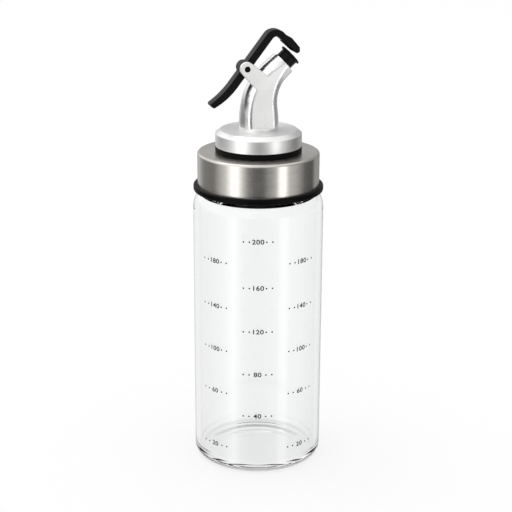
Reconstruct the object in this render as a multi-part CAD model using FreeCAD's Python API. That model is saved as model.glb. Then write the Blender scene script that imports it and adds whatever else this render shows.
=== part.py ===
import FreeCAD, Part
import math
import os

# Oil cruet: a straight glass bottle, a steel collar on a black liner, and a rubber stopper that
# carries a metal pourer with a flap lever. Millimetres. The origin is at the centre of the base,
# +Z up, the spout points to +X and the lever swings about an axis along Y.

# ---- glass bottle
bottle_radius = 27.5
glass_wall = 2.1
floor_height = 3.0            # inside floor above the table
floor_corner = 2.2            # inside radius between floor and wall
heel_radius = 3.2
foot_width = 2.8              # flat ring that the bottle stands on
pushup_height = 1.0
shoulder_height = 119.4
shoulder_radius = 10.0
shoulder_rise = 7.4           # from the straight wall to the shoulder's flat top
shoulder_wall = 2.4
finish_radius = 19.2          # outside of the glass neck under the collar
finish_wall = 2.6
finish_height = 15.4          # glass neck above the shoulder
finish_lip_radius = 0.9

# ---- collar: black liner with a flange, steel shell over it
flange_setback = 0.15         # flange inside the line of the glass
flange_height = 2.5
flange_edge = 0.7
liner_clearance = 0.05        # liner to the glass neck, and shell to the liner
flange_ledge = 1.75           # flange standing out past the shell
shell_wall = 0.8
shell_top_clearance = 0.15    # under the shell's top, over the glass mouth
shell_edge = 1.1
shell_mouth_clearance = 0.3   # shell mouth outside the bore of the glass neck

# ---- rubber stopper
seal_overlap = 1.2            # seal resting on the shell, beyond its mouth
seal_height = 2.55
seal_edge = 0.35
stem_length = 14.6
stem_taper = 0.5
rib_count = 4
rib_height = 0.75
rib_clearance = 0.05
rib_start_share = 0.25        # of the pitch, from one rib to the next
rib_length_share = 0.6

# ---- pouring channel through the stopper, the disc and the spout
channel_radius = 3.0

# ---- pourer disc
disc_setback = 0.05           # disc inside the seal
disc_height = 6.8
disc_bevel_width = 2.0
disc_bevel_height = 1.6
boss_height = 1.35
boss_groove = 0.22            # shadow line between boss and spout

# ---- spout
spout_foot_radius = 8.25
spout_straight = 6.9          # vertical run before the bend
spout_bend_radius = 22.0
barrel_angle = 42.5           # barrel above the horizontal
barrel_radius = 5.35
barrel_straight = 4.3
spout_sections = 9
flat_cut = 0.05               # flats inside the barrel's radius, from the bend up
flat_draft = 1.15             # flats further out at the foot
flat_draft_height = 16.0
flat_edge_round = 2.0
mouth_edge = 0.3

# ---- nozzle
nozzle_radius = 3.9
nozzle_bore = 1.9             # radius
nozzle_length = 4.55          # standing out of the barrel
nozzle_seat = 4.0             # length inside the barrel
nozzle_lip = 0.85             # lip standing out of the tube
nozzle_lip_height = 0.8
nozzle_lip_edge = 0.3
nozzle_flare = 1.2            # bevel inside the lip

# ---- hinge lug, pin
pin_inset = 2.0               # pin inside the line of the spout's foot
pin_rise = 24.6               # pin above the spout's foot
pin_radius = 1.25
pin_running_clearance = 0.05
pin_head_radius = 2.1
pin_head_height = 0.8
lug_end_radius = 3.0
lug_upper_angle = -38.5       # edges of the lug, seen from the side
lug_lower_angle = -48.0
lug_root = 0.6                # lug's edges end this far short of the spout's centre lines
lug_edge = 0.35
side_clearance = 0.15         # lever hub to the lug, and to the pin head

# ---- lever
lever_width = 5.4
arm_above = 1.2               # arm faces above and below the line through the pin
arm_below = 1.9
tail_below = 2.05
hub_radius = 2.9
hub_boss = 0.95               # hub standing out towards the lug
corner_inner_radius = 1.95
closing_turn = 5.0            # degrees that lay the pad parallel to the nozzle's lip
hook_reach = 9.14             # corner's centre to the nozzle's axis, along the hook
hook_gap = 1.3                # pad's face to the nozzle's lip, across the hook
hook_length = 10.6
hook_neck = 2.65              # thickness where the hook leaves the corner
hook_neck_at = 1.1            # along the hook from the corner's centre
hook_back = 3.35              # thickness at its thickest
hook_back_at = 4.1
hook_end = 2.75               # thickness where the outer face meets the tip
hook_end_at = 9.3
tip_chamfer = 0.5
tip_round = 0.8
back_round = 2.5
tail_length = 20.9
tail_bend_start = 8.5
tail_end_round = 0.9
tail_rise_above = 2.2
tail_rise_below = 2.85
lever_edge = 0.35

# ---- rubber pad under the hook
pad_start = 2.2
pad_length = 6.0
pad_depth = 1.3
pad_stand_out = 0.35
pad_inset = 0.9               # lever side faces outside the pad

# ---- heights and radii that follow
foot_inner_radius = bottle_radius - heel_radius - foot_width
bore_radius = finish_radius - finish_wall
flange_radius = bottle_radius - flange_setback
shell_radius = flange_radius - flange_ledge
shell_mouth = bore_radius + shell_mouth_clearance
seal_radius = shell_mouth + seal_overlap
disc_radius = seal_radius - disc_setback
mouth_height = shoulder_height + finish_height
flange_top = shoulder_height + flange_height
shell_top = mouth_height + shell_top_clearance + shell_wall
seal_top = shell_top + seal_height
disc_top = seal_top + disc_height
spout_foot = disc_top + boss_height
flat_depth_top = barrel_radius - flat_cut
flat_depth_foot = flat_depth_top + flat_draft
nozzle_lip_radius = nozzle_radius + nozzle_lip
pin_x = pin_inset - spout_foot_radius
pin_height = spout_foot + pin_rise
hub_near = lever_width / 2 + hub_boss
lug_thickness = flat_depth_top - side_clearance - hub_near
hook_angle = barrel_angle - 90 + closing_turn
beyond = 2 * (bottle_radius + spout_bend_radius)    # past the spout on every side

X = FreeCAD.Vector(1, 0, 0)
Y = FreeCAD.Vector(0, 1, 0)
Z = FreeCAD.Vector(0, 0, 1)


def point(x, z, y=0.0):
    return FreeCAD.Vector(x, y, z)


def ray(angle):
    """Unit vector in the XZ plane, at an angle in degrees above +X."""
    turn = math.radians(angle)
    return point(math.cos(turn), math.sin(turn))


def line(start, end):
    return Part.makeLine(start, end)


def arc(start, through, end):
    return Part.Arc(start, through, end).toShape()


def corner_arc(centre, radius, start_angle, end_angle):
    """Arc in the XZ plane; the angles are measured above +X."""
    middle = (start_angle + end_angle) / 2
    ends = [centre + ray(angle) * radius for angle in (start_angle, middle, end_angle)]
    return arc(*ends)


def revolved(edges):
    wire = Part.Wire(edges)
    return Part.Face(wire).revolve(FreeCAD.Vector(), Z, 360)


def ring(inner, outer, bottom, top):
    solid = Part.makeCylinder(outer, top - bottom, Z * bottom)
    if inner > 0:
        solid = solid.cut(Part.makeCylinder(inner, top - bottom, Z * bottom))
    return solid


def extruded(edges, near, far):
    """Outline in the XZ plane pushed along Y from near to far."""
    face = Part.Face(Part.Wire(edges))
    face.translate(Y * near)
    return face.extrude(Y * (far - near))


def polygon(points, near, far):
    edges = [line(a, b) for a, b in zip(points, points[1:] + points[:1])]
    return extruded(edges, near, far)


def circles_at(solid, radius, height):
    """Round edges of a solid of revolution, by radius and height."""
    found = []
    for edge in solid.Edges:
        curve = edge.Curve
        if not isinstance(curve, Part.Circle) or abs(curve.Radius - radius) > 0.001:
            continue
        if abs(curve.Center.z - height) < 0.001:
            found.append(edge)
    return found


def make_bottle():
    inner_radius = bottle_radius - glass_wall
    shoulder_start = shoulder_height - shoulder_rise
    ceiling = shoulder_height - shoulder_wall
    shoulder_inner_radius = shoulder_radius - glass_wall
    outer_turn = math.degrees(math.asin(shoulder_rise / shoulder_radius))
    inner_turn = math.degrees(math.asin((ceiling - shoulder_start) / shoulder_inner_radius))
    apex = point(0, pushup_height)
    foot_inner = point(foot_inner_radius, 0)
    pushup_middle = point(foot_inner_radius / 2, pushup_height * 3 / 4)
    lip_centre_outer = point(finish_radius - finish_lip_radius, mouth_height - finish_lip_radius)
    lip_centre_inner = point(bore_radius + finish_lip_radius, mouth_height - finish_lip_radius)
    heel_centre = point(bottle_radius - heel_radius, heel_radius)
    shoulder_centre = point(bottle_radius - shoulder_radius, shoulder_start)
    shoulder_end = shoulder_centre + ray(outer_turn) * shoulder_radius
    ceiling_end = shoulder_centre + ray(inner_turn) * shoulder_inner_radius
    floor_centre = point(inner_radius - floor_corner, floor_height + floor_corner)
    edges = [
        arc(apex, pushup_middle, foot_inner),
        line(foot_inner, point(heel_centre.x, 0)),
        corner_arc(heel_centre, heel_radius, -90, 0),
        line(point(bottle_radius, heel_radius), point(bottle_radius, shoulder_start)),
        corner_arc(shoulder_centre, shoulder_radius, 0, outer_turn),
        line(shoulder_end, point(finish_radius, shoulder_height)),
        line(point(finish_radius, shoulder_height), point(finish_radius, lip_centre_outer.z)),
        corner_arc(lip_centre_outer, finish_lip_radius, 0, 90),
        line(point(lip_centre_outer.x, mouth_height), point(lip_centre_inner.x, mouth_height)),
        corner_arc(lip_centre_inner, finish_lip_radius, 90, 180),
        line(point(bore_radius, lip_centre_inner.z), point(bore_radius, ceiling)),
        line(point(bore_radius, ceiling), ceiling_end),
        corner_arc(shoulder_centre, shoulder_inner_radius, inner_turn, 0),
        line(point(inner_radius, shoulder_start), point(inner_radius, floor_centre.z)),
        corner_arc(floor_centre, floor_corner, 0, -90),
        line(point(floor_centre.x, floor_height), point(0, floor_height)),
        line(point(0, floor_height), apex),
    ]
    return revolved(edges)


def make_collar_liner():
    sleeve_inner = finish_radius + liner_clearance
    sleeve_outer = shell_radius - shell_wall - liner_clearance
    sleeve_top = shell_top - shell_wall
    flange = ring(sleeve_inner, flange_radius, shoulder_height, flange_top)
    rims = circles_at(flange, flange_radius, shoulder_height)
    rims += circles_at(flange, flange_radius, flange_top)
    flange = flange.makeFillet(flange_edge, rims)
    sleeve = ring(sleeve_inner, sleeve_outer, flange_top, sleeve_top)
    return flange.fuse(sleeve).removeSplitter()


def make_collar_shell():
    shell_height = shell_top - flange_top
    outside = Part.makeCylinder(shell_radius, shell_height, Z * flange_top)
    outside = outside.makeFillet(shell_edge, circles_at(outside, shell_radius, shell_top))
    hollow = Part.makeCylinder(shell_radius - shell_wall, shell_height - shell_wall, Z * flange_top)
    mouth = Part.makeCylinder(shell_mouth, shell_height, Z * flange_top)
    return outside.cut(hollow).cut(mouth)


def make_stopper():
    seal = Part.makeCylinder(seal_radius, seal_height, Z * shell_top)
    rims = circles_at(seal, seal_radius, shell_top) + circles_at(seal, seal_radius, seal_top)
    seal = seal.makeFillet(seal_edge, rims)
    rib_radius = bore_radius - rib_clearance
    stem_radius = rib_radius - rib_height
    stem_foot = shell_top - stem_length
    stem = Part.makeCone(stem_radius - stem_taper, stem_radius, stem_length, Z * stem_foot)
    pitch = (mouth_height - finish_lip_radius - stem_foot) / rib_count
    solid = seal.fuse(stem)
    for index in range(rib_count):
        low = stem_foot + pitch * (index + rib_start_share)
        rib = Part.makeCone(stem_radius - stem_taper, rib_radius, pitch * rib_length_share, Z * low)
        solid = solid.fuse(rib)
    channel = Part.makeCylinder(channel_radius, stem_length + seal_height, Z * stem_foot)
    return solid.cut(channel).removeSplitter()


def make_pourer_disc():
    bevel_foot = disc_top - disc_bevel_height
    boss_radius = spout_foot_radius
    boss_shoulder = spout_foot - boss_groove
    outline = [
        point(channel_radius, seal_top),
        point(disc_radius, seal_top),
        point(disc_radius, bevel_foot),
        point(disc_radius - disc_bevel_width, disc_top),
        point(boss_radius, disc_top),
        point(boss_radius, boss_shoulder),
        point(boss_radius - boss_groove, spout_foot),
        point(channel_radius, spout_foot),
    ]
    return revolved([line(a, b) for a, b in zip(outline, outline[1:] + outline[:1])])


def spout_path(length):
    """Point and direction on the spout's centre line, at a length from its foot."""
    turn = 90 - barrel_angle
    bend_length = spout_bend_radius * math.radians(turn)
    bend_centre = point(spout_bend_radius, spout_foot + spout_straight)
    if length <= spout_straight:
        return point(0, spout_foot + length), 90.0
    if length <= spout_straight + bend_length:
        turned = math.degrees((length - spout_straight) / spout_bend_radius)
        return bend_centre + ray(180 - turned) * spout_bend_radius, 90 - turned
    end = bend_centre + ray(180 - turn) * spout_bend_radius
    return end + ray(barrel_angle) * (length - spout_straight - bend_length), barrel_angle


def spout_length():
    bend_length = spout_bend_radius * math.radians(90 - barrel_angle)
    return spout_straight + bend_length + barrel_straight


def section_radius(share):
    eased = share * share * (3 - 2 * share)
    return spout_foot_radius + (barrel_radius - spout_foot_radius) * eased


def spout_horn():
    wires = []
    for index in range(spout_sections):
        share = index / (spout_sections - 1)
        centre, angle = spout_path(share * spout_length())
        circle = Part.makeCircle(section_radius(share), centre, ray(angle))
        wires.append(Part.Wire(circle))
    return Part.makeLoft(wires, True, False)


def flat_slab():
    """What is left between the two flats: drafted at the neck, upright above."""
    low = spout_foot - 1
    bend = spout_foot + flat_draft_height
    high = bend + beyond
    foot_depth = flat_depth_foot + (flat_depth_foot - flat_depth_top) / flat_draft_height
    outline = [
        (foot_depth, low), (flat_depth_top, bend), (flat_depth_top, high),
        (-flat_depth_top, high), (-flat_depth_top, bend), (-foot_depth, low),
    ]
    points = [FreeCAD.Vector(-beyond, y, z) for y, z in outline]
    face = Part.Face(Part.makePolygon(points + points[:1]))
    return face.extrude(X * 2 * beyond)


def flat_rims(body):
    """Curved edges between the flats and the round of the neck and barrel."""
    found = []
    for edge in body.Edges:
        box = edge.BoundBox
        depth = min(abs(box.YMin), abs(box.YMax))
        if box.YMin * box.YMax > 0 and box.ZLength > 5 and depth > flat_depth_top - 0.01:
            found.append(edge)
    return found


def make_lug():
    """Ear of the spout, on the -Y side, that carries the pin."""
    centre = point(pin_x, pin_height)
    upper = centre + ray(lug_upper_angle + 90) * lug_end_radius
    lower = centre + ray(lug_lower_angle - 90) * lug_end_radius
    outer = centre + ray((lug_upper_angle + lug_lower_angle) / 2 + 180) * lug_end_radius
    mouth, angle = spout_path(spout_length())
    axis = ray(angle)
    upper_run = crossing(upper, ray(lug_upper_angle), mouth, axis)
    lower_run = crossing(lower, ray(lug_lower_angle), point(0, spout_foot), Z)
    upper_end = upper + ray(lug_upper_angle) * (upper_run - lug_root)
    lower_end = lower + ray(lug_lower_angle) * (lower_run - lug_root)
    edges = [
        arc(lower, outer, upper),
        line(upper, upper_end),
        line(upper_end, lower_end),
        line(lower_end, lower),
    ]
    near = -flat_depth_top
    lug = extruded(edges, near, near + lug_thickness)
    inner_middle = (upper_end + lower_end) / 2 + Y * near
    rim = [edge for edge in side_edges(lug, near)
           if (edge.CenterOfMass - inner_middle).Length > 0.01]
    return lug.makeFillet(lug_edge, rim)


def crossing(start, direction, other, other_direction):
    """Length along the first line, in the XZ plane, to where it meets the second."""
    across = direction.x * other_direction.z - direction.z * other_direction.x
    gap = other - start
    return (gap.x * other_direction.z - gap.z * other_direction.x) / across


def make_spout():
    body = spout_horn().common(flat_slab())
    body = body.makeFillet(flat_edge_round, flat_rims(body))
    body = body.fuse(make_lug()).removeSplitter()
    mouth, angle = spout_path(spout_length())
    axis = ray(angle)
    elbow_run = crossing(mouth, axis, point(0, spout_foot), Z)
    elbow = mouth + axis * elbow_run
    riser = Part.makeCylinder(channel_radius, elbow.z - spout_foot, Z * spout_foot)
    barrel = Part.makeCylinder(channel_radius, -elbow_run, elbow, axis)
    knee = Part.makeSphere(channel_radius, elbow)
    seat = Part.makeCylinder(nozzle_radius, nozzle_seat, mouth - axis * nozzle_seat, axis)
    hole = Part.makeCylinder(pin_radius, lug_thickness, pin_centre(-flat_depth_top), Y)
    for cutter in (riser, barrel, knee, seat, hole, mouth_bevel(mouth, axis)):
        body = body.cut(cutter)
    return body


def mouth_bevel(mouth, axis):
    """Ring that takes the sharp edge off the barrel's mouth."""
    start = mouth - axis * mouth_edge
    outside = Part.makeCylinder(barrel_radius + mouth_edge, 2 * mouth_edge, start, axis)
    kept = Part.makeCone(barrel_radius, barrel_radius - 2 * mouth_edge, 2 * mouth_edge, start, axis)
    return outside.cut(kept)


def pin_centre(y):
    return point(pin_x, pin_height, y)


def make_nozzle():
    mouth, angle = spout_path(spout_length())
    axis = ray(angle)
    start = mouth - axis * nozzle_seat
    length = nozzle_seat + nozzle_length
    tube = Part.makeCylinder(nozzle_radius, length, start, axis)
    lip_start = mouth + axis * (nozzle_length - nozzle_lip_height)
    lip = Part.makeCylinder(nozzle_lip_radius, nozzle_lip_height, lip_start, axis)
    rims = [edge for edge in lip.Edges if isinstance(edge.Curve, Part.Circle)]
    lip = lip.makeFillet(nozzle_lip_edge, rims)
    bore = Part.makeCylinder(nozzle_bore, length, start, axis)
    flare_start = mouth + axis * (nozzle_length - nozzle_flare)
    flare = Part.makeCone(nozzle_bore, nozzle_bore + nozzle_flare, nozzle_flare, flare_start, axis)
    return tube.fuse(lip).cut(bore).cut(flare).removeSplitter()


def make_pivot_pin():
    near = -flat_depth_top
    head_near = lever_width / 2 + side_clearance
    shank = Part.makeCylinder(pin_radius, head_near - near, pin_centre(near), Y)
    head = Part.makeCylinder(pin_head_radius, pin_head_height, pin_centre(head_near), Y)
    return shank.fuse(head).removeSplitter()


def corner_centre():
    """Centre of the lever's corner, which puts the hook over the nozzle's lip."""
    mouth, angle = spout_path(spout_length())
    lip = mouth + ray(angle) * nozzle_length
    drop = corner_inner_radius - pad_stand_out - hook_gap
    return lip - ray(hook_angle) * hook_reach - ray(hook_angle + 90) * drop


def arm_line():
    """Angle of the arm above +X, and its length from the pin to the corner's centre."""
    reach = corner_centre() - pin_centre(0)
    below = arm_below + corner_inner_radius
    length = math.sqrt(reach.Length ** 2 - below ** 2)
    angle = math.degrees(math.atan2(reach.z, reach.x) + math.atan2(below, length))
    return angle, length


def lever_place(along, above):
    """Point by its distance along the arm from the pin, and above the arm's line."""
    angle, _ = arm_line()
    return pin_centre(0) + ray(angle) * along + ray(angle + 90) * above


def hook_place(along, out):
    """Point by its distance along the hook from the corner's centre, and outward from it."""
    return corner_centre() + ray(hook_angle) * along + ray(hook_angle + 90) * out


def hook_outline():
    """Points round the hook, from the corner's outer face to its inner face."""
    inner = corner_inner_radius
    return [
        hook_place(hook_neck_at, inner + hook_neck),
        hook_place(hook_back_at, inner + hook_back),
        hook_place(hook_end_at, inner + hook_end),
        hook_place(hook_length, inner + hook_end - (hook_length - hook_end_at)),
        hook_place(hook_length - tip_chamfer, inner),
        hook_place(0, inner),
    ]


def lever_outline():
    corner = corner_centre()
    arm_angle, arm_length = arm_line()
    arm_radius = corner_inner_radius + arm_below + arm_above
    hook = hook_outline()
    turn_middle = ray((arm_angle + hook_angle) / 2 + 90)
    middle_radius = (arm_radius + corner_inner_radius + hook_neck) / 2
    tail_end = -tail_length
    bend = -tail_bend_start
    middle = (bend + tail_end) / 2
    return [
        line(lever_place(0, arm_above), lever_place(arm_length, arm_above)),
        arc(lever_place(arm_length, arm_above), corner + turn_middle * middle_radius, hook[0]),
        *[line(a, b) for a, b in zip(hook, hook[1:])],
        corner_arc(corner, corner_inner_radius, hook_angle + 90, arm_angle + 90),
        line(lever_place(arm_length, -arm_below), lever_place(0, -arm_below)),
        line(lever_place(0, -arm_below), lever_place(-hub_radius, -tail_below)),
        line(lever_place(-hub_radius, -tail_below), lever_place(bend, -tail_below)),
        arc(lever_place(bend, -tail_below),
            lever_place(middle, -tail_below + tail_rise_below / 4),
            lever_place(tail_end, -tail_below + tail_rise_below)),
        line(lever_place(tail_end, -tail_below + tail_rise_below),
             lever_place(tail_end, arm_above + tail_rise_above)),
        arc(lever_place(tail_end, arm_above + tail_rise_above),
            lever_place(middle, arm_above + tail_rise_above / 4),
            lever_place(bend, arm_above)),
        line(lever_place(bend, arm_above), lever_place(0, arm_above)),
    ]


def side_edges(solid, side):
    """Edges that lie in the flat side face at a given Y."""
    found = []
    for edge in solid.Edges:
        box = edge.BoundBox
        if abs(box.YMin - side) < 0.001 and abs(box.YMax - side) < 0.001:
            found.append(edge)
    return found


def cross_edges(solid, corners):
    """Straight edges along Y that pass over points of the XZ plane."""
    found = []
    for edge in solid.Edges:
        middle = edge.CenterOfMass
        if any((middle - corner).Length < 0.001 for corner in corners):
            found.append(edge)
    return found


def make_lever():
    half = lever_width / 2
    bar = extruded(lever_outline(), -half, half)
    tail_corners = [
        lever_place(-tail_length, arm_above + tail_rise_above),
        lever_place(-tail_length, -tail_below + tail_rise_below),
    ]
    bar = bar.makeFillet(tail_end_round, cross_edges(bar, tail_corners))
    _, back, *tip, _ = hook_outline()
    bar = bar.makeFillet(back_round, cross_edges(bar, [back]))
    bar = bar.makeFillet(tip_round, cross_edges(bar, tip))
    hub = Part.makeCylinder(hub_radius, lever_width, pin_centre(-half), Y)
    solid = bar.fuse(hub).removeSplitter()
    solid = solid.makeFillet(lever_edge, side_edges(solid, -half) + side_edges(solid, half))
    boss_radius = hub_radius - lever_edge
    boss = Part.makeCylinder(boss_radius, hub_near - half, pin_centre(-hub_near), Y)
    reach = hub_near + half
    hole = Part.makeCylinder(pin_radius + pin_running_clearance, reach, pin_centre(-hub_near), Y)
    return solid.cut(hole).fuse(boss.cut(hole)).cut(pad_block()).removeSplitter()


def pad_block():
    half = lever_width / 2 - pad_inset
    face = corner_inner_radius - pad_stand_out
    points = [
        hook_place(pad_start, face),
        hook_place(pad_start + pad_length, face),
        hook_place(pad_start + pad_length, face + pad_depth),
        hook_place(pad_start, face + pad_depth),
    ]
    return polygon(points, -half, half)


parts = {
    "bottle": make_bottle(),
    "collar_liner": make_collar_liner(),
    "collar_shell": make_collar_shell(),
    "stopper": make_stopper(),
    "pourer_disc": make_pourer_disc(),
    "spout": make_spout(),
    "nozzle": make_nozzle(),
    "pivot_pin": make_pivot_pin(),
    "lever": make_lever(),
    "lever_pad": pad_block(),
}
os.makedirs("parts", exist_ok=True)
for name, shape in parts.items():
    print(name, len(shape.Solids), shape.isValid(), round(shape.Volume, 2))
    shape.exportStep(f"parts/{name}.step")
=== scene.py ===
import bpy
import math
from mathutils import Matrix, Vector


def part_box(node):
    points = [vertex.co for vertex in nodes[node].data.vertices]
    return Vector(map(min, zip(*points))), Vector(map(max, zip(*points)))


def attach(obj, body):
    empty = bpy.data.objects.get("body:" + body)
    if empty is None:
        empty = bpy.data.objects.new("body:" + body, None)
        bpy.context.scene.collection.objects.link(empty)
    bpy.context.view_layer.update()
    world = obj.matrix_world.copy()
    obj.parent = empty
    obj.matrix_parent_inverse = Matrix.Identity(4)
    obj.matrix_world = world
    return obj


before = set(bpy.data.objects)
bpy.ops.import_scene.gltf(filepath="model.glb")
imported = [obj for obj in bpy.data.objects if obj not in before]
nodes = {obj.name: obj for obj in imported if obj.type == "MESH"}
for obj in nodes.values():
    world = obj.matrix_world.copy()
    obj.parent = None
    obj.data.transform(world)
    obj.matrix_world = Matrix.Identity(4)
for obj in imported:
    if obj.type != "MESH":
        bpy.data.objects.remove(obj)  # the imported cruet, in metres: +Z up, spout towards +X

mm = 0.001
bpy.context.view_layer.update()
print("frame:", len(nodes), "nodes")


# ---- a few helpers

class Wire:  # a node's output that sums, products and powers can be written on
    def __init__(self, tree, source, output=0):
        self.tree, self.source, self.socket = tree, source, source.outputs[output]

    def out(self, output):
        return Wire(self.tree, self.source, output)

    def maths(self, operation, *others):
        values = dict(enumerate((self,) + others))
        return addNode(self.tree, "ShaderNodeMath", {"operation": operation}, values)

    def turned(self, operation, other):  # for a plain number on the left
        return addNode(self.tree, "ShaderNodeMath", {"operation": operation}, {0: other, 1: self})

    def __add__(self, other):
        return self.maths("ADD", other)

    def __radd__(self, other):
        return self.maths("ADD", other)

    def __sub__(self, other):
        return self.maths("SUBTRACT", other)

    def __rsub__(self, other):
        return self.turned("SUBTRACT", other)

    def __mul__(self, other):
        return self.maths("MULTIPLY", other)

    def __rmul__(self, other):
        return self.maths("MULTIPLY", other)

    def __truediv__(self, other):
        return self.maths("DIVIDE", other)

    def __pow__(self, other):
        return self.maths("POWER", other)


def addNode(tree, kind, settings=None, values=None, output=0):
    made = tree.nodes.new(kind)
    for name, value in (settings or {}).items():
        if name == "stops":
            setStops(made.color_ramp, value)
        else:
            setattr(made, name, value)
    for name, value in (values or {}).items():
        if isinstance(value, Wire):
            tree.links.new(value.socket, made.inputs[name])
        else:
            made.inputs[name].default_value = value
    return Wire(tree, made, output)


def setStops(ramp, stops):  # stops are (place, grey level)
    while len(ramp.elements) < len(stops):
        ramp.elements.new(0.5)
    for element, (place, level) in zip(ramp.elements, stops):
        element.position = place
        element.color = (level, level, level, 1)


def smoothStep(value, low, high):  # 0 below low, 1 above high
    settings = {"interpolation_type": "SMOOTHSTEP"}
    return addNode(value.tree, "ShaderNodeMapRange", settings, {0: value, 1: low, 2: high})


def blend(share, first, second):  # greys; a share of 1 is all second
    return first + (second - first) * share


def objectPlace(tree):
    return addNode(tree, "ShaderNodeTexCoord", output="Object")


def axisParts(place):  # height, and distance from the bottle's axis
    parts = addNode(place.tree, "ShaderNodeSeparateXYZ", None, {0: place})
    x, y = parts.out("X"), parts.out("Y")
    return parts.out("Z"), (x * x + y * y) ** 0.5


def noise(place, scale, detail=2.0, stretch=(1, 1, 1)):
    moved = addNode(place.tree, "ShaderNodeMapping", None, {"Vector": place, "Scale": stretch})
    return addNode(place.tree, "ShaderNodeTexNoise", None,
                   {"Vector": moved, "Scale": scale, "Detail": detail})


def noiseAlong(value, scale, detail=2.0):  # varies with one number only, as turning marks do
    return addNode(value.tree, "ShaderNodeTexNoise", {"noise_dimensions": "1D"},
                   {"W": value, "Scale": scale, "Detail": detail})


def bump(height, depth):
    return addNode(height.tree, "ShaderNodeBump", None,
                   {"Height": height, "Distance": depth, "Strength": 1.0})


def newMaterial(name, values):  # the material's tree and its surface shader
    material = bpy.data.materials.new(name)
    material.use_nodes = True
    tree = material.node_tree
    shader = next(n for n in tree.nodes if n.type == "BSDF_PRINCIPLED")
    for socket, value in values.items():
        shader.inputs[socket].default_value = value
    return material, tree, shader


def plug(wire, shader, socket):
    wire.tree.links.new(wire.socket, shader.inputs[socket])


def grey(level):
    return (level, level, level, 1)


def mixColours(share, first, second):
    settings = {"data_type": "RGBA"}
    return addNode(share.tree, "ShaderNodeMix", settings,
                   {"Factor": share, 6: first, 7: second}, output=2)


# ---- materials

glassLook = {
    "tint": (0.955, 0.961, 0.959, 1),
    "ior": 1.5,
    "waveScale": 22.0,        # slow waves left by blowing, per metre
    "waveStretch": (1, 1, 0.45),
    "waveDepth": 0.001 * mm,
}


def clearGlass():
    values = {"Base Color": glassLook["tint"], "Transmission Weight": 1.0, "Roughness": 0.0,
              "IOR": glassLook["ior"]}
    material, tree, shader = newMaterial("clearGlass", values)
    place = objectPlace(tree)
    waves = noise(place, glassLook["waveScale"], 1.0, glassLook["waveStretch"])
    plug(bump(waves, glassLook["waveDepth"]), shader, "Normal")
    return material


steelLook = {
    "colour": (0.60, 0.575, 0.545, 1),
    "duller": (0.52, 0.50, 0.47, 1),
    "roughness": 0.23,
    "roughnessSpread": 0.08,
    "anisotropy": 0.9,
    "lineScale": 9000.0,      # brushing lines, per metre
    "lineDepth": 0.0015 * mm,
    "breakScale": 260.0,      # how often a brushing line starts and ends
    "breakStretch": (1, 1, 6),
    "breakInRoughness": 0.5,
    "linesInShade": 0.6,      # share of lines in the colour, the rest is breaks
    "shadeRange": (0.3, 0.7),
}


def brushedSteel():
    values = {"Metallic": 1.0, "Anisotropic": steelLook["anisotropy"], "Anisotropic Rotation": 0.25}
    material, tree, shader = newMaterial("brushedSteel", values)
    place = objectPlace(tree)
    height, radius = axisParts(place)
    along = height - radius  # runs down the side and across the top, so the lines go round
    lines = noiseAlong(along, steelLook["lineScale"], 3.0)
    broken = noise(place, steelLook["breakScale"], 2.0, steelLook["breakStretch"])
    spread = (lines - 0.5) + (broken - 0.5) * steelLook["breakInRoughness"]
    plug(spread * steelLook["roughnessSpread"] + steelLook["roughness"], shader, "Roughness")
    share = steelLook["linesInShade"]
    shade = smoothStep(lines * share + broken * (1 - share), *steelLook["shadeRange"])
    plug(mixColours(shade, steelLook["duller"], steelLook["colour"]), shader, "Base Color")
    plug(bump(lines, steelLook["lineDepth"]), shader, "Normal")
    return material


metalLook = {
    "colour": (0.86, 0.86, 0.855, 1),
    "duller": (0.79, 0.79, 0.785, 1),
    "turnedScale": 5200.0,      # turning marks, per metre
    "turnedDepth": 0.001 * mm,
    "turnedCloud": 180.0,
    "turnedRoughness": 0.38,
    "turnedSpread": 0.06,       # for the marks and again for the clouds
    "turnedAnisotropy": 0.5,
    "castCloud": 150.0,
    "castGrain": 2600.0,
    "castGrainShare": 0.04,     # of the grain, in roughness and in height
    "castDepth": 0.006 * mm,
    "castRoughness": 0.22,
    "castSpread": 0.08,
}


def turnedMetal():
    values = {"Metallic": 1.0, "Anisotropic": metalLook["turnedAnisotropy"],
              "Anisotropic Rotation": 0.25}
    material, tree, shader = newMaterial("turnedMetal", values)
    place = objectPlace(tree)
    height, radius = axisParts(place)
    lines = noiseAlong(height - radius, metalLook["turnedScale"], 3.0)
    cloud = noise(place, metalLook["turnedCloud"], 3.0)
    spread = metalLook["turnedSpread"]
    plug(lines * spread + cloud * spread + metalLook["turnedRoughness"], shader, "Roughness")
    plug(mixColours(cloud, metalLook["duller"], metalLook["colour"]), shader, "Base Color")
    plug(bump(lines, metalLook["turnedDepth"]), shader, "Normal")
    return material


def castMetal():
    material, tree, shader = newMaterial("castMetal", {"Metallic": 1.0})
    place = objectPlace(tree)
    cloud = noise(place, metalLook["castCloud"], 3.0)
    grain = noise(place, metalLook["castGrain"], 2.0) * metalLook["castGrainShare"]
    spread = cloud * metalLook["castSpread"] + grain
    plug(spread + metalLook["castRoughness"], shader, "Roughness")
    plug(mixColours(cloud, metalLook["duller"], metalLook["colour"]), shader, "Base Color")
    plug(bump(cloud + grain, metalLook["castDepth"]), shader, "Normal")
    return material


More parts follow.
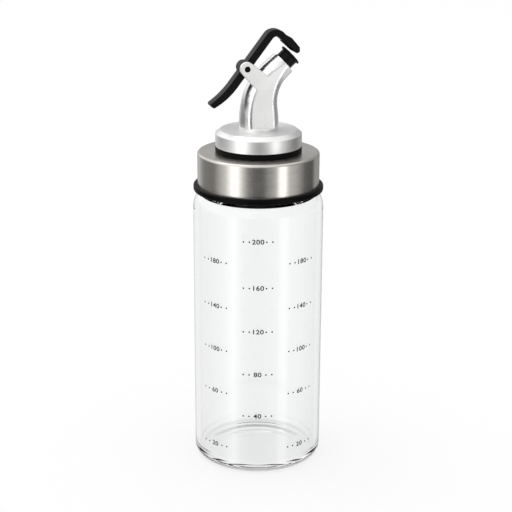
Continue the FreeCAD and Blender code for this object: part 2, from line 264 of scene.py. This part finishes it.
mouldedLook = {
    "cloudScale": 120.0,
    "cloudInRoughness": 0.12,
    "grainInRoughness": 0.10,
    "colourRange": (0.8, 1.25),  # times the plain level
    # a name, grey level, roughness, grains per metre, their depth and the specular level
    "collar_liner": ("linerPlastic", 0.002, 0.38, 2200.0, 0.006 * mm, 0.05),
    "stopper": ("stopperRubber", 0.003, 0.50, 1500.0, 0.012 * mm, 0.06),
    "nozzle": ("nozzleRubber", 0.002, 0.38, 1800.0, 0.010 * mm, 0.12),
    "pivot_pin": ("pinPlastic", 0.002, 0.35, 2200.0, 0.006 * mm, 0.08),
    "lever": ("leverPlastic", 0.003, 0.34, 2000.0, 0.010 * mm, 0.10),
    "lever_pad": ("padRubber", 0.003, 0.55, 1500.0, 0.012 * mm, 0.10),
    "graduation": ("printInk", 0.012, 0.5, 4000.0, 0.002 * mm, 0.3),
}


def moulded(piece):  # plastic, rubber or ink
    name, level, roughness, grainScale, grainDepth, specular = mouldedLook[piece]
    material, tree, shader = newMaterial(name, {"Specular IOR Level": specular})
    place = objectPlace(tree)
    grain = noise(place, grainScale, 3.0)
    cloud = noise(place, mouldedLook["cloudScale"], 2.0)
    fromCloud = (cloud - 0.5) * mouldedLook["cloudInRoughness"]
    fromGrain = (grain - 0.5) * mouldedLook["grainInRoughness"]
    plug(roughness + fromCloud + fromGrain, shader, "Roughness")
    darker, lighter = (grey(level * times) for times in mouldedLook["colourRange"])
    plug(mixColours(cloud, darker, lighter), shader, "Base Color")
    plug(bump(grain, grainDepth), shader, "Normal")
    return material


looks = {
    "bottle": clearGlass(),
    "collar_shell": brushedSteel(),
    "pourer_disc": turnedMetal(),
    "spout": castMetal(),
}
for nodeName in ("collar_liner", "stopper", "nozzle", "pivot_pin", "lever", "lever_pad"):
    looks[nodeName] = moulded(nodeName)
for nodeName, look in looks.items():
    for slot in nodes[nodeName].material_slots:
        slot.material = look
print("materials:", len(looks))


# ---- graduation printed on the glass

printing = {
    "digitHeight": 2.05 * mm,
    "fontShare": 0.72,          # a digit's height in a font of size 1
    "digitSpacing": 1.06,
    "digitWidth": 1.15,         # wider than the plain font
    "boldness": 0.06 * mm,
    "lift": 0.003 * mm,         # ink's back face off the glass
    "thickness": 0.01 * mm,     # thin enough to stay inside the CAD box
    "dotRadius": 0.36 * mm,
    "dotPlaces": (3.55 * mm, 6.05 * mm),
    "front": -106.0,            # degrees round from +X
    "sideTurn": 41.0,
    # millilitres, and each mark's height in mm
    "frontMarks": {200: 104.2, 160: 84.3, 120: 65.1, 80: 45.9, 40: 26.9},
    "sideMarks": {180: 94.1, 140: 74.5, 100: 55.3, 60: 36.1, 20: 11.2},
}


def onlySelect(*pieces):
    bpy.ops.object.select_all(action="DESELECT")
    for piece in pieces:
        piece.select_set(True)
    bpy.context.view_layer.objects.active = pieces[0]


def flatNumber(text):  # digits lying in the XY plane, centred on the origin
    bpy.ops.object.select_all(action="DESELECT")
    bpy.ops.object.text_add()
    digits = bpy.context.object
    digits.data.body = text
    digits.data.align_x = "CENTER"
    digits.data.align_y = "CENTER"
    digits.data.size = printing["digitHeight"] / printing["fontShare"]
    digits.data.space_character = printing["digitSpacing"]
    digits.data.offset = printing["boldness"]
    digits.data.resolution_u = 4
    digits.data.extrude = printing["thickness"] / 2
    bpy.ops.object.convert(target="MESH")
    digits = bpy.context.object
    digits.scale.x = printing["digitWidth"]
    bpy.ops.object.transform_apply(scale=True)
    return digits


def flatDot(place):
    bpy.ops.object.select_all(action="DESELECT")
    bpy.ops.mesh.primitive_circle_add(vertices=16, radius=printing["dotRadius"],
                                      fill_type="NGON", location=(place, 0, 0))
    dot = bpy.context.object
    bpy.ops.object.transform_apply(location=True)
    bpy.ops.object.mode_set(mode="EDIT")
    bpy.ops.mesh.select_all(action="SELECT")
    thickness = printing["thickness"]
    bpy.ops.transform.translate(value=(0, 0, -thickness / 2))
    bpy.ops.mesh.extrude_region_move(TRANSFORM_OT_translate={"value": (0, 0, thickness)})
    bpy.ops.mesh.select_all(action="SELECT")
    bpy.ops.mesh.normals_make_consistent(inside=False)
    bpy.ops.object.mode_set(mode="OBJECT")
    return dot


def wrapOnGlass(piece, azimuth, height, radius):
    for vertex in piece.data.vertices:
        turn = math.radians(azimuth) + vertex.co.x / radius
        out = radius + printing["lift"] + printing["thickness"] / 2 + vertex.co.z
        vertex.co = (out * math.cos(turn), out * math.sin(turn), height + vertex.co.y)


def printMark(amount, azimuth, height, radius):
    dots = [flatDot(side * place) for place in printing["dotPlaces"] for side in (-1, 1)]
    mark = flatNumber(str(amount))
    onlySelect(mark, *dots)
    bpy.ops.object.join()
    wrapOnGlass(mark, azimuth, height, radius)
    return mark


def printGraduation():
    lowest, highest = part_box("bottle")
    radius = (highest.x - lowest.x) / 2
    side = printing["sideTurn"]
    columns = [(0, "frontMarks"), (-side, "sideMarks"), (side, "sideMarks")]
    marks = []
    for turn, heights in columns:
        for amount, height in printing[heights].items():
            marks.append(printMark(amount, printing["front"] + turn, height * mm, radius))
    onlySelect(*marks)
    bpy.ops.object.join()
    graduation = bpy.context.object
    graduation.name = graduation.data.name = "graduation"
    graduation.data.materials.clear()
    graduation.data.materials.append(moulded("graduation"))
    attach(graduation, "bottle_body")
    return graduation


graduation = printGraduation()
print("graduation:", len(graduation.data.polygons), "faces")


# ---- floor, light and camera

studio = {
    "cameraSide": -106.0,       # degrees round from +X
    "rampTop": 3.2,             # level that a ramp stop of 1 stands for
    # what glossy surfaces see: degrees to the right of the camera, and a level
    "lowBands": [(-180, 0.30), (-150, 0.70), (-125, 0.30), (-92, 0.18), (-84, 0.38), (-64, 0.95),
                 (-44, 2.8), (-30, 1.0), (-20, 0.26), (-9, 0.03), (9, 0.03), (16, 0.26),
                 (26, 0.5), (34, 0.75), (41, 2.2), (50, 2.5), (59, 0.9), (75, 0.65), (88, 0.35),
                 (97, 0.16), (122, 0.10), (133, 0.45), (180, 0.30)],
    "highBands": [(-180, 0.55), (-162, 0.7), (-142, 1.4), (-118, 1.0), (-90, 1.5), (-20, 1.5),
                  (0, 0.9), (30, 0.9), (60, 0.5), (90, 0.4), (160, 0.45), (180, 0.55)],
    "lift": (-0.02, 0.15),      # sine of the height where low bands give way to high ones
    "ground": 0.8,
    "groundFrom": (-0.62, -0.42),
    "overhead": 1.3,
    "overheadFrom": (0.5, 0.85),
    "throughGlass": 0.7,        # share of plain white in what shows through glass
    "ambient": 1.0,
    "bounces": 32,              # light goes round inside the thick glass foot many times
    "lampPower": 6.0,
    "lampSize": 1.4,
    "lampPlace": (-0.7, 0.5, 2.0),
    "floorRadius": 12.0,
    "floorLevel": 0.93,
    "floorFibres": 0.006,       # lighter and darker than that
    "floorDrop": 0.03 * mm,     # below the foot, so that glass and floor don't coincide
    "floorGlow": 0.75,          # share of plain white in what the camera sees of the floor
    "floorGlowInGlass": 0.85,   # and of what shows through glass
}


def bandsAround(around, bands):
    top = studio["rampTop"]
    stops = [(angle / 360 + 0.5, level / top) for angle, level in bands]
    return addNode(around.tree, "ShaderNodeValToRGB", {"stops": stops}, {0: around}) * top


def lightWorld():
    world = bpy.data.worlds.new("studio")
    bpy.context.scene.world = world
    world.use_nodes = True
    tree = world.node_tree
    background = next(n for n in tree.nodes if n.type == "BACKGROUND")
    background.inputs["Color"].default_value = (1, 1, 1, 1)
    towards = addNode(tree, "ShaderNodeTexCoord", output="Generated")
    turned = addNode(tree, "ShaderNodeMapping", None,
                     {"Vector": towards, "Rotation": (0, 0, -math.radians(studio["cameraSide"]))})
    parts = addNode(tree, "ShaderNodeSeparateXYZ", None, {0: turned})
    x, y, z = parts.out("X"), parts.out("Y"), parts.out("Z")
    around = y.maths("ARCTAN2", x) / (2 * math.pi) + 0.5
    low, high = (bandsAround(around, studio[name]) for name in ("lowBands", "highBands"))
    seen = blend(smoothStep(z, *studio["lift"]), low, high)
    seen = blend(smoothStep(z, *studio["groundFrom"]), studio["ground"], seen)
    seen = blend(smoothStep(z, *studio["overheadFrom"]), seen, studio["overhead"])
    path = addNode(tree, "ShaderNodeLightPath")
    level = blend(path.out("Is Glossy Ray"), studio["ambient"], seen)
    through = blend(studio["throughGlass"], seen, 1.0)
    level = blend(path.out("Is Transmission Ray"), level, through)
    level = blend(path.out("Is Camera Ray"), level, 1.0)
    tree.links.new(level.socket, background.inputs["Strength"])


def layFloor():
    bpy.ops.object.select_all(action="DESELECT")
    bpy.ops.mesh.primitive_circle_add(vertices=96, radius=studio["floorRadius"], fill_type="NGON")
    floor = bpy.context.object
    floor.name = "floor"
    floor.location.z = -studio["floorDrop"]
    material, tree, shader = newMaterial("floorPaper", {"Roughness": 0.9, "Specular IOR Level": 0.0})
    place = objectPlace(tree)
    fibres = noise(place, 900.0, 2.0)
    level, change = studio["floorLevel"], studio["floorFibres"]
    plug(mixColours(fibres, grey(level - change), grey(level + change)), shader, "Base Color")
    path = addNode(tree, "ShaderNodeLightPath")
    direct = path.out("Is Camera Ray") * studio["floorGlow"]
    share = direct.maths("MAXIMUM", path.out("Is Transmission Ray") * studio["floorGlowInGlass"])
    glow = addNode(tree, "ShaderNodeEmission")
    lit = Wire(tree, shader)
    mixed = addNode(tree, "ShaderNodeMixShader", None, {0: share, 1: lit, 2: glow})
    end = next(n for n in tree.nodes if n.type == "OUTPUT_MATERIAL")
    tree.links.new(mixed.socket, end.inputs["Surface"])
    floor.data.materials.append(material)
    floor.visible_glossy = False


def hangLamp():
    bpy.ops.object.light_add(type="AREA", location=studio["lampPlace"])
    lamp = bpy.context.object
    lamp.data.energy = studio["lampPower"]
    lamp.data.size = studio["lampSize"]
    lamp.rotation_euler = Vector(studio["lampPlace"]).to_track_quat("Z", "Y").to_euler()


view = {
    "place": (-0.1506, -0.5221, 0.26625),
    "yaw": -16.0,
    "pitch": 18.02,
    "roll": 0.25,
    "lens": 93.74,
    "sensor": 36,
    "nearest": 0.01,
}


def placeCamera():
    bpy.ops.object.camera_add(location=view["place"])
    camera = bpy.context.object
    turn = Matrix.Rotation(math.radians(view["yaw"]), 3, "Z")
    turn = turn @ Matrix.Rotation(math.radians(90 - view["pitch"]), 3, "X")
    turn = turn @ Matrix.Rotation(math.radians(view["roll"]), 3, "Z")
    camera.rotation_euler = turn.to_euler()
    camera.data.lens = view["lens"]
    camera.data.sensor_width = view["sensor"]
    camera.data.clip_start = view["nearest"]
    bpy.context.scene.camera = camera


def allowBounces():
    cycles = bpy.context.scene.cycles
    cycles.max_bounces = studio["bounces"]
    cycles.glossy_bounces = studio["bounces"]
    cycles.transmission_bounces = studio["bounces"]


lightWorld()
allowBounces()
layFloor()
hangLamp()
placeCamera()
bpy.context.scene.view_settings.view_transform = "Standard"
print("studio: ready")

bpy.context.view_layer.update()
